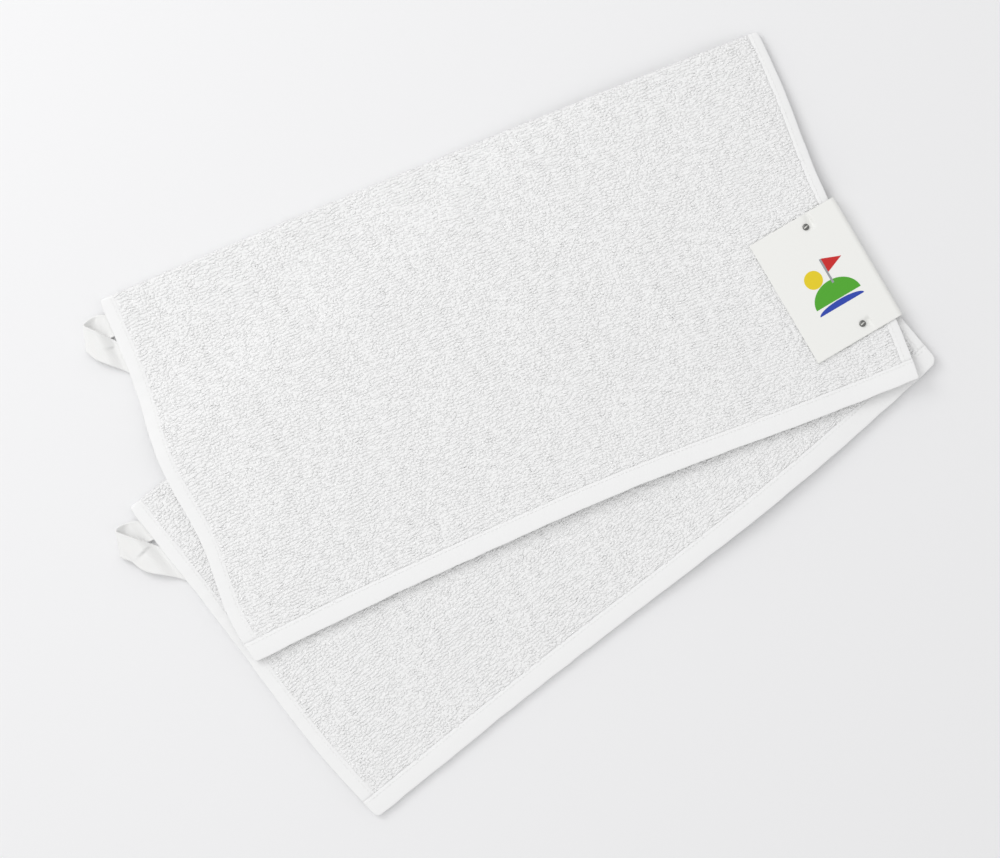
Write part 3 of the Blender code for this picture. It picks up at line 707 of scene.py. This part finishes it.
def end_hem(towel, top):
    """An end hem of one leaf: a flattened ring carried along the open edge, its corners rounded."""
    first, last = CORNER_ROUND[towel.name]
    turn = np.linspace(END_SLIVER, math.pi / 2, CORNER_ROWS)
    a = np.concatenate([
        first * (1 - np.cos(turn)),
        np.linspace(first, TOWEL_LENGTH - last, round(TOWEL_LENGTH / HEM_CELL))[1:-1],
        TOWEL_LENGTH - last * (1 - np.cos(turn[::-1]))])[:, None]
    cut = 0.0
    for radius, from_end in ((first, a), (last, TOWEL_LENGTH - a)):
        into = np.maximum(1 - from_end / radius, 0)
        cut = cut + radius * (1 - np.sqrt(1 - into ** 2))
    low, high = FOLDED_DEPTH - END_HEM + HEM_LAP, FOLDED_DEPTH - cut
    c, d = rounded(HEM_AROUND, HEM_SQUARE)
    stray = EDGE_STRAY * drift(a, 0 * a, *END_EDGE_WAVES) * (c > 0)
    b = (low + high) / 2 + (high - low) / 2 * c[None, :] + stray
    middle = STACK - HEM_RECESS - HEM / 2 if top else HEM_RECESS + HEM / 2
    start, run = END_TAPER
    thin = smooth((a + start) / run) * smooth((TOWEL_LENGTH - a + start) / run)
    z = middle + HEM / 2 * d[None, :] * thin * hem_section(-c)[None, :]
    z = z + (puckers(a, END_PUCKERS) if top else 0.0)
    leaf = "top" if top else "bottom"
    return tube(towel.name + "_end_hem_" + leaf + "_cloth", on_towel(towel, a, b, z), HEM_FINISH,
                slot="white_woven_hem")


STITCH = 0.0019             # length of a stitch
STITCH_PITCH = 0.0027
STITCH_RADIUS = 0.00017
STITCH_FLAT = 0.8           # height of a stitch's section, as a share of its width
STITCH_STATIONS = np.array((-0.46, -0.2, 0.2, 0.46))        # as shares of its length
STITCH_RISE = np.array((0.0, 0.9, 0.9, 0.0))                # as shares of its radius
STITCH_AROUND = 6
STITCH_SINK = 0.00002       # how far the row lies under the hem's face
SEAM_IN = 0.0022            # from a hem's inner edge to its line of stitches


def stitches(name, where, count):
    """A row of stitches. Each is a short flattened tube that dips into the cloth at both ends.

    where(share, across, up) gives points along the row: share from 0 to 1, the rest in metres.
    """
    share = (np.arange(count) + 0.5) / count
    along = STITCH_STATIONS * STITCH
    rise = STITCH_RISE * STITCH_RADIUS
    c, d = rounded(STITCH_AROUND, 0.9)
    grid = (count, STITCH_STATIONS.size, STITCH_AROUND)
    offset = share[:, None, None] + (along / (STITCH_PITCH * count))[None, :, None]
    across = np.broadcast_to(c[None, None, :] * STITCH_RADIUS, grid)
    up = np.broadcast_to((rise[:, None] + d[None, :] * STITCH_RADIUS * STITCH_FLAT)[None], grid)
    rings = where(offset + 0 * across, across, up)
    middles = rings[:, [0, -1]].mean(axis=2)
    points = np.concatenate([rings.reshape(count, -1, 3), middles], axis=1)
    step = points.shape[1] * np.arange(count)[:, None, None]
    faces = (tube_faces(STITCH_STATIONS.size, STITCH_AROUND)[None] + step).reshape(-1, 3)
    return add_mesh(name, points, faces, THREAD_FINISH, slot="white_woven_hem")


def hem_stitches(towel):
    """Stitch lines on the upper leaf's three hems."""
    end = FOLDED_DEPTH - END_HEM
    top = -HEM_RECESS - STITCH_SINK

    def on_end(share, across, up):
        return on_towel(towel, share * TOWEL_LENGTH, end + SEAM_IN + across, STACK + top + up)

    rows = [stitches(towel.name + "_end_hem_stitches", on_end, round(TOWEL_LENGTH / STITCH_PITCH))]
    for side, place in (("left", LEFT_HEM - SEAM_IN), ("right", TOWEL_LENGTH - RIGHT_HEM + SEAM_IN)):
        def on_side(share, across, up, place=place):
            return on_fold(towel, place + across, share * path_of(end), top + up)

        rows.append(stitches(towel.name + "_side_hem_" + side + "_stitches", on_side,
                             round(path_of(end) / STITCH_PITCH)))
    return rows


# ---------------------------------------------------------------- hanging loops

CURL_FLARE = 0.28           # share by which the curl is wider at the near edge and tighter at the far one
RIM_BOW = 0.0020            # how far the near edge of the lower run bows outwards
RIM_BOW_REACH = 1.1         # length of that bow, as a share of the reach
RIM_LEAD = 0.0080           # how far before the curl the near edge starts to climb
BELLY_WAY = (0.74, 0.67)    # direction in which the far edge bulges, along the hem and out
BELLY_REACH = 0.0190        # from the hem to the outer end of the bulge
BELLY_LATE = 2.2            # power that moves the bulge's top outwards from the middle
TUCK_STEP = 0.0008          # over which a pinched fold steps down
TUCK_RUN = 0.0030           # over which it fades on either side


class LoopFrame:
    """A loop's own directions and the surface its tape follows.

    Distances s run along the side hem from the fold corner, and out runs away from the hem.
    On the flat tape, w runs across it and o along it from the hem.
    """

    def __init__(self, loop):
        self.loop = loop
        self.root = loop.near_edge + TAPE_WIDTH / 2 / math.cos(loop.lean)
        self.reach = self.find_reach()
        edge = [np.array(plan(loop.towel, 0.0, b)) for b in (self.root, self.root + HEM_CHORD)]
        self.along = (edge[1] - edge[0]) / np.linalg.norm(edge[1] - edge[0])
        self.out = np.array((self.along[1], -self.along[0]))
        self.zero = edge[0] - self.along * self.root
        hinge = self.zero + self.out * HINGE_OUT + self.along * self.root
        self.hinge_height = self.hem_middle(*hinge)
        self.hinge = np.array((*hinge, self.hinge_height))

    def find_reach(self):
        """The reach at which the two runs leave the hem with the root gap between them."""
        loop = self.loop
        turned = 2 * loop.slant
        shift = loop.root_gap + TAPE_WIDTH / 2 * (1 / math.cos(loop.lean) + 1 / math.cos(turned - loop.lean))
        across = shift * math.cos(loop.lean) - HINGE_OUT * math.sin(loop.lean)
        ahead = shift * math.sin(loop.lean) + HINGE_OUT * math.cos(loop.lean)
        wrap = math.pi * TAPE_CURL
        back = (across + wrap * math.sin(loop.slant)) / math.sin(turned)
        return ahead + back * math.cos(turned) - wrap * math.cos(loop.slant)

    def hem_middle(self, x, y):
        """Height half way up the towel's hems."""
        return base(self.loop.towel, x, y) + STACK / 2

    def lower_run(self, w, out):
        """Length o along the tape at which its lower run is at a distance out from the hem."""
        return (out + w * math.sin(self.loop.lean)) / math.cos(self.loop.lean)

    def upper_run(self, w, out):
        """Length o along the tape at which its upper run is at a distance out from the hem."""
        loop = self.loop
        sin, cos = math.sin(loop.lean), math.cos(loop.lean)
        wrap = math.pi * TAPE_CURL
        across = w * math.cos(2 * loop.slant) - wrap * math.sin(loop.slant)
        ahead = self.reach + w * math.sin(2 * loop.slant) + wrap * math.cos(loop.slant)
        return self.reach + (cos * ahead - sin * across - out) / math.cos(2 * loop.slant - loop.lean)

    def ahead_of_axis(self, w, o):
        """Length along the tape, square to the curl's axis, from where the curl begins."""
        return -w * math.sin(self.loop.slant) + (o - self.reach) * math.cos(self.loop.slant)

    def place(self, w, o):
        """Distances s and out, and the turn round the curl, of a place on the flat tape.

        A flat tape leaves the hem, wraps half round a cylinder whose axis is slanted against it,
        and comes back over itself at twice that slant.
        """
        loop = self.loop
        sin, cos = math.sin(loop.slant), math.cos(loop.slant)
        t = w * cos + (o - self.reach) * sin
        q = self.ahead_of_axis(w, o)
        turn = np.clip(q / TAPE_CURL, 0.0, math.pi)
        curl = self.curl(w)
        past = np.where(q < 0.0, q, curl * np.sin(turn) - np.maximum(q - math.pi * TAPE_CURL, 0.0))
        across = t * cos - past * sin
        ahead = self.reach + t * sin + past * cos
        s = self.root + across * math.cos(loop.lean) + ahead * math.sin(loop.lean)
        out = ahead * math.cos(loop.lean) - across * math.sin(loop.lean)
        # the near edge of the lower run and the far edge of the upper run bow outwards
        fore = smooth(turn / math.pi)
        side = w / TAPE_WIDTH + 0.5
        bow = np.sin(math.pi * np.clip(out / self.reach / RIM_BOW_REACH, 0.0, 1.0))
        s = s - RIM_BOW * bow * (1.0 - side) * (1.0 - fore)
        bulge = np.sin(math.pi * np.clip(out / BELLY_REACH, 0.0, 1.0) ** BELLY_LATE)
        belly = loop.belly * bulge * side ** 2 * fore
        return s + belly * BELLY_WAY[0], out + belly * BELLY_WAY[1], turn

    def curl(self, w):
        """Radius of the curl, which opens towards the tape's near edge."""
        return TAPE_CURL * (1.0 - 2.0 * CURL_FLARE * w / TAPE_WIDTH)

    def tuck(self, s, out, turn):
        """A small sharp fold pinched into the upper run: a ridge, then a step down to a hollow."""
        at_s, at_out, way, step, half_length = self.loop.tuck
        c, d = math.cos(way), math.sin(way)
        u = (s - at_s) * c + (out - at_out) * d
        v = (out - at_out) * c - (s - at_s) * d
        fold = (0.5 - smooth(u / TUCK_STEP + 0.5)) * np.exp(-np.abs(u) / TUCK_RUN - (v / half_length) ** 2)
        return step * fold * smooth(turn - math.pi + 1.0)

    def surface(self, w, o):
        """Points of the tape's middle surface, and the length from the hem that says where it settles."""
        s, out, turn = self.place(w, o)
        flat = self.zero + s[..., None] * self.along + out[..., None] * self.out
        settle = np.where(turn > 0.0, UPPER_RUN_SETTLE, LOWER_RUN_SETTLE)
        lead = RIM_LEAD * (0.5 - w / TAPE_WIDTH)
        wrap = math.pi * TAPE_CURL
        q = self.ahead_of_axis(w, o)
        climb = math.pi * np.clip((q + lead) / (wrap + lead), 0.0, 1.0)
        climb = climb + (math.pi * smooth(climb / math.pi) - climb) * lead / RIM_LEAD
        level = TAPE_REST + TAPE / 2 + self.curl(w) * (1.0 - np.cos(climb))
        root = self.hem_middle(flat[..., 0], flat[..., 1])
        z = root + (level - root) * smooth((out - HINGE_OUT) / settle)
        z = z + self.tuck(s, out, turn) * smooth((out - HINGE_OUT) / TUCK_RUN)
        return np.concatenate([flat, z[..., None]], axis=-1)


TAPE_ROWS = (30, 30, 60)    # cells along the lower run, the curl and the upper run
TAPE_ACROSS = 30            # cells across the tape
SELVEDGE = 0.10             # share of the half width that the thicker woven edge takes
TAPE_THIN = 0.72            # thickness of the tape between its woven edges, as a share of theirs
EDGE_BULGE = 0.3            # how far the edges are rounded out, as a share of the thickness


def hanging_tape(loop):
    """One loop's whole tape, both sewn ends and the free bow, as a thin closed strip with full edges."""
    where = LoopFrame(loop)
    inside = TAIL_INSET - LEFT_HEM
    bulge = TAPE * EDGE_BULGE
    half = TAPE_WIDTH / 2 - bulge
    w = (np.linspace(-1.0, 1.0, TAPE_ACROSS + 1) * half)[None, :]
    bend_start = where.reach + w * math.tan(loop.slant)
    bend_stop = bend_start + math.pi * TAPE_CURL / math.cos(loop.slant)
    stops = [where.lower_run(w, inside), bend_start, bend_stop, where.upper_run(w, inside)]
    runs = []
    for first, last, cells in zip(stops, stops[1:], TAPE_ROWS):
        share = np.linspace(0.0, 1.0, cells + 1)[:-1, None]
        runs.append(first + (last - first) * share)
    o = np.concatenate(runs + [stops[-1]], axis=0)
    middle = where.surface(w + 0 * o, o)
    down = np.gradient(middle, axis=0)
    right = np.gradient(middle, axis=1)
    normal = np.cross(right, down)
    normal /= np.linalg.norm(normal, axis=-1, keepdims=True)
    edge = right / np.linalg.norm(right, axis=-1, keepdims=True)
    share = np.abs(w / half)
    woven = smooth((share - 1 + SELVEDGE * 2) / SELVEDGE)
    thick = TAPE / 2 * (TAPE_THIN + (1 - TAPE_THIN) * woven)
    # ring round the strip: top face one way, full edge, bottom face back, full edge
    top = middle + normal * thick[..., None]
    bottom = middle - normal * thick[..., None]
    right_edge = middle[:, -1:] + edge[:, -1:] * bulge
    left_edge = middle[:, :1] - edge[:, :1] * bulge
    rings = np.concatenate([left_edge, top, right_edge, bottom[:, ::-1]], axis=1)
    across = np.concatenate([w[:, :1], w, w[:, -1:], w[:, ::-1]], axis=1) + np.zeros((rings.shape[0], 1))
    lengths = np.concatenate([o[:, :1], o, o[:, -1:], o[:, ::-1]], axis=1)
    flags = {"tape_across": np.concatenate([across.ravel(), (0.0, 0.0)]),
             "tape_along": np.concatenate([lengths.ravel(), (0.0, 0.0)])}
    name = loop.towel.name
    piece = tube(name + "_hanging_tape", rings, TAPE_FINISH, body=None, slot="white_twill_tape", flags=flags)
    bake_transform(piece)
    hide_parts(name + "_loop_bow", name + "_loop_tail_back", name + "_loop_tail_front")


# ---------------------------------------------------------------- header card

DIMPLE = 0.0020             # how deep the card dips beside each pin
DIMPLE_ASIDE = 0.0048       # from a pin to the dip beside it, towards the spine
DIMPLE_REACHES = (0.0028, 0.0009)   # of its slope from the pin, and of its far slope
DIMPLE_RUNS = (0.0085, 0.0035)      # how far each dip runs towards its end of the card
DIMPLE_BACK = 0.0020        # how far each dip runs away from its end
SPINE_ROUND = 0.0030        # outer radius of the two folds beside the spine
FOLD_POINTS = 9
FULL_DIP = 0.003            # height over the card's middle at which the dips have their full depth
CARD_POINTS = (120, 130)     # points across a panel and along the card


def dimples(s, t):
    """How far the card's front panel dips: a bell-shaped pit beside each pin, steep on its far side."""
    total = 0.0
    for place, run in zip(PIN_PLACES, DIMPLE_RUNS):
        ps, pt = on_card(*place)
        u, v = s - ps - DIMPLE_ASIDE, t - pt
        across = u / np.where(u < 0, *DIMPLE_REACHES)
        along = v / np.where(v * np.sign(pt) > 0, run, DIMPLE_BACK)
        total = total + np.exp(-across ** 2 - along ** 2)
    return DIMPLE * total


def card_section(low, high, inset):
    """The card's folded section, s and z: front panel, two small folds beside the spine, back panel."""
    corner = SPINE_ROUND - inset
    edge = CARD_WIDTH / 2 - inset - corner
    up, down = high - inset, low + inset
    turn = np.linspace(math.pi / 2, 0.0, FOLD_POINTS)
    panel = np.linspace(-CARD_WIDTH / 2, CARD_WIDTH / 2 - SPINE_ROUND, CARD_POINTS[0])
    front, back = edge + corner * np.cos(turn[1:]), edge + corner * np.cos(turn[::-1])
    s = np.concatenate([panel, front, back, panel[::-1][1:]])
    z = np.concatenate([np.full(panel.size, up), up - corner + corner * np.sin(turn[1:]),
                        down + corner - corner * np.sin(turn[::-1]), np.full(panel.size - 1, down)])
    return s, z


def header_card():
    """The card: its folded section carried along the spine, dipping beside its pins."""
    low, high = [c.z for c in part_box("header_card")]
    t = np.linspace(-CARD_LENGTH / 2, CARD_LENGTH / 2, CARD_POINTS[1])[:, None]
    faces = []
    for inset in (0.0, CARD_STOCK):
        s, z = card_section(low, high, inset)
        s, z, along = s[None, :] + 0 * t, z[None, :] + 0 * t, t + 0 * s[None, :]
        z = z - smooth((z - (low + high) / 2) / FULL_DIP) * dimples(s, along)
        xy = CARD_MIDDLE + s[..., None] * CARD_OUT + along[..., None] * CARD_UP
        faces.append(np.concatenate([xy, z[..., None]], axis=-1))
    piece = sheet_solid("header_card_folded", faces[0], faces[1], CARD_FINISH, slot="offwhite_card_stock")
    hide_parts("header_card")
    return high


EMBLEM_AT = (0.0011, -0.0026)       # from the card's middle, towards its spine and up it
INK = 0.00003               # thickness of a layer of ink
MM = 0.001


def disc(u, v, radius):
    """Outline of a disc."""
    turn = np.linspace(0.0, math.tau, 64, endpoint=False)
    return np.stack([u + radius * np.cos(turn), v + radius * np.sin(turn)], -1)


def mound(half_width, height, foot):
    """Outline of a low rounded hill standing on a level line: half an ellipse."""
    rim = np.linspace(0.0, math.pi, 48)
    return np.stack([half_width * np.cos(rim), foot + height * np.sin(rim)], -1)


def printed(name, colour, outline, layer, high):
    """A flat patch of ink on the card's front, from its outline in millimetres about the emblem's middle."""
    u, v = (np.array(EMBLEM_AT) + outline * MM).T
    plan_points = CARD_MIDDLE + u[:, None] * CARD_OUT + v[:, None] * CARD_UP
    heights = high - dimples(u, v) + INK * np.array((0.0, layer))[:, None]
    rings = np.stack([np.column_stack([plan_points, z]) for z in heights])
    return tube("ink_" + name, rings, ink_finish(name, colour), slot="offwhite_card_stock", flat=True)


def emblem(high):
    """A plain golfing emblem: a flag on a green mound over water, with the sun behind."""
    printed("sun", "e8cf10", disc(-8.0, 6.5, 6.0), 1, high)
    printed("water", "1c3fae", mound(16.0, 4.0, -16.0), 1, high)
    printed("green", "4aa81c", mound(16.0, 13.0, -11.5), 1, high)
    printed("pole", "9a9ca2", np.array([(1.4, -1.0), (2.8, -1.0), (2.8, 16.0), (1.4, 16.0)]), 2, high)
    printed("flag", "cc1212", np.array([(2.8, 6.4), (15.0, 11.2), (2.8, 16.0)]), 3, high)


BAR_HALF = (0.0017, 0.00045)        # half length and half width of the ridge on a pin's head
BAR_RISE = 0.00025
BAR_LIFT = 0.00002          # from the head's top to the ridge's middle
BAR_TURN = math.radians(45)
BAR_ROWS = 9
BAR_AROUND = 12


def pin_bar(name):
    """The raised ridge across a pin's head: an ellipsoid, longest across the head, in lighter nickel as a
    painted highlight.
    """
    low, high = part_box(name)
    middle = np.array((low + high) / 2)[:2] - SHIFT[:2]
    along = np.sin(np.linspace(-0.95, 0.95, BAR_ROWS) * math.pi / 2)
    around = np.arange(BAR_AROUND) / BAR_AROUND * math.tau
    scale = np.sqrt(1 - along ** 2)
    x = np.repeat(along[:, None] * BAR_HALF[0], BAR_AROUND, axis=1)
    y = scale[:, None] * np.cos(around) * BAR_HALF[1]
    z = high.z + BAR_LIFT + scale[:, None] * np.sin(around) * BAR_RISE
    c, s = math.cos(BAR_TURN), math.sin(BAR_TURN)
    points = np.stack([middle[0] + x * c - y * s, middle[1] + x * s + y * c, z], -1)
    return tube(name + "_ridge", points, PAINTED_HIGHLIGHT_FINISH, slot="dark_nickel")


# ---------------------------------------------------------------- the whole set

def build_towel(towel, seed):
    """One towel with its pile, hems and stitches, drawn in place of the imported sheet and hems, which are
    hidden.
    """
    ground = terry_ground(towel)
    parts = terry_loops(towel, seed)
    hems = [side_hem(towel, True), side_hem(towel, False), end_hem(towel, True), end_hem(towel, False)]
    parts += hems + hem_stitches(towel)
    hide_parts(towel.name + "_terry_sheet")
    nodes = ("side_hem_left", "side_hem_right", "end_hem_top_leaf", "end_hem_bottom_leaf")
    for hem, node in zip(hems, nodes):
        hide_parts(towel.name + "_" + node)


FLOOR_HALF = 4.0
FLOOR_DROP = 0.0003         # from the lowest cloth down to the floor
LAMPS = (                   # name, diameter, watts, place; all point at the frame's middle
    ("soft_box", 0.9, 6.4, (-1.15, 0.90, 1.20)),
    ("wide_panel", 2.2, 12.0, (-1.00, 0.42, 1.90)),
    ("fill_panel", 2.0, 3.2, (1.10, -0.90, 1.60)))
SKY = 0.64                  # strength of the even white sky
LENS = 120.0                # millimetres
SENSOR = 36.0
VIEW_WIDTH = 0.633          # width of what the camera sees at the cloth
CLOTH_HEIGHT = 0.004        # at which that width is measured
CAMERA_OVER = (-0.0070, -0.00285)


def build_floor():
    """A plain pale floor."""
    finish = Finish("pale_floor", "f2f2f3", Roughness=0.9)
    corners = [(-1, -1), (1, -1), (1, 1), (-1, 1)]
    points = np.array([(x * FLOOR_HALF, y * FLOOR_HALF, -FLOOR_DROP) for x, y in corners])
    floor = add_mesh("floor", points - SHIFT, np.array([[0, 1, 2, 3]]), finish.material, body=None)


def build_light():
    """Soft studio light: two lamps from the upper left, a weak fill from the lower right, and an even sky."""
    for name, size, energy, place in LAMPS:
        lamp = bpy.data.lights.new(name, "AREA")
        lamp.shape = "DISK"
        lamp.size = size
        lamp.energy = energy
        holder = bpy.data.objects.new(name, lamp)
        bpy.context.scene.collection.objects.link(holder)
        holder.location = place
        aim = holder.location * -1
        holder.rotation_euler = aim.to_track_quat("-Z", "Y").to_euler()
    world = bpy.data.worlds.new("studio")
    bpy.context.scene.world = world
    world.use_nodes = True
    sky = world.node_tree.nodes["Background"]
    sky.inputs["Color"].default_value = (1.0, 1.0, 1.0, 1.0)
    sky.inputs["Strength"].default_value = SKY


def build_camera():
    """Straight down through a long lens."""
    camera = bpy.data.cameras.new("camera")
    camera.lens = LENS
    camera.sensor_width = SENSOR
    camera.clip_end = 50.0
    holder = bpy.data.objects.new("camera", camera)
    bpy.context.scene.collection.objects.link(holder)
    holder.location = (*CAMERA_OVER, VIEW_WIDTH * LENS / SENSOR + CLOTH_HEIGHT)
    bpy.context.scene.camera = holder


PILE_SEEDS = {"lower": 101, "upper": 202}
PINS = ("card_pin_upper", "card_pin_lower")
CAPS = ("pin_cap_upper", "pin_cap_lower")

bpy.context.scene.view_settings.view_transform = "Standard"
build_floor()
build_light()
build_camera()
for towel in (LOWER, UPPER):
    build_towel(towel, PILE_SEEDS[towel.name])
for hanging in LOOPS:
    hanging_tape(hanging)
emblem(header_card())
for pin in PINS:
    pin_bar(pin)
for node in PINS + CAPS:
    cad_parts[node].data.materials.clear()
    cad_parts[node].data.materials.append(NICKEL_FINISH)
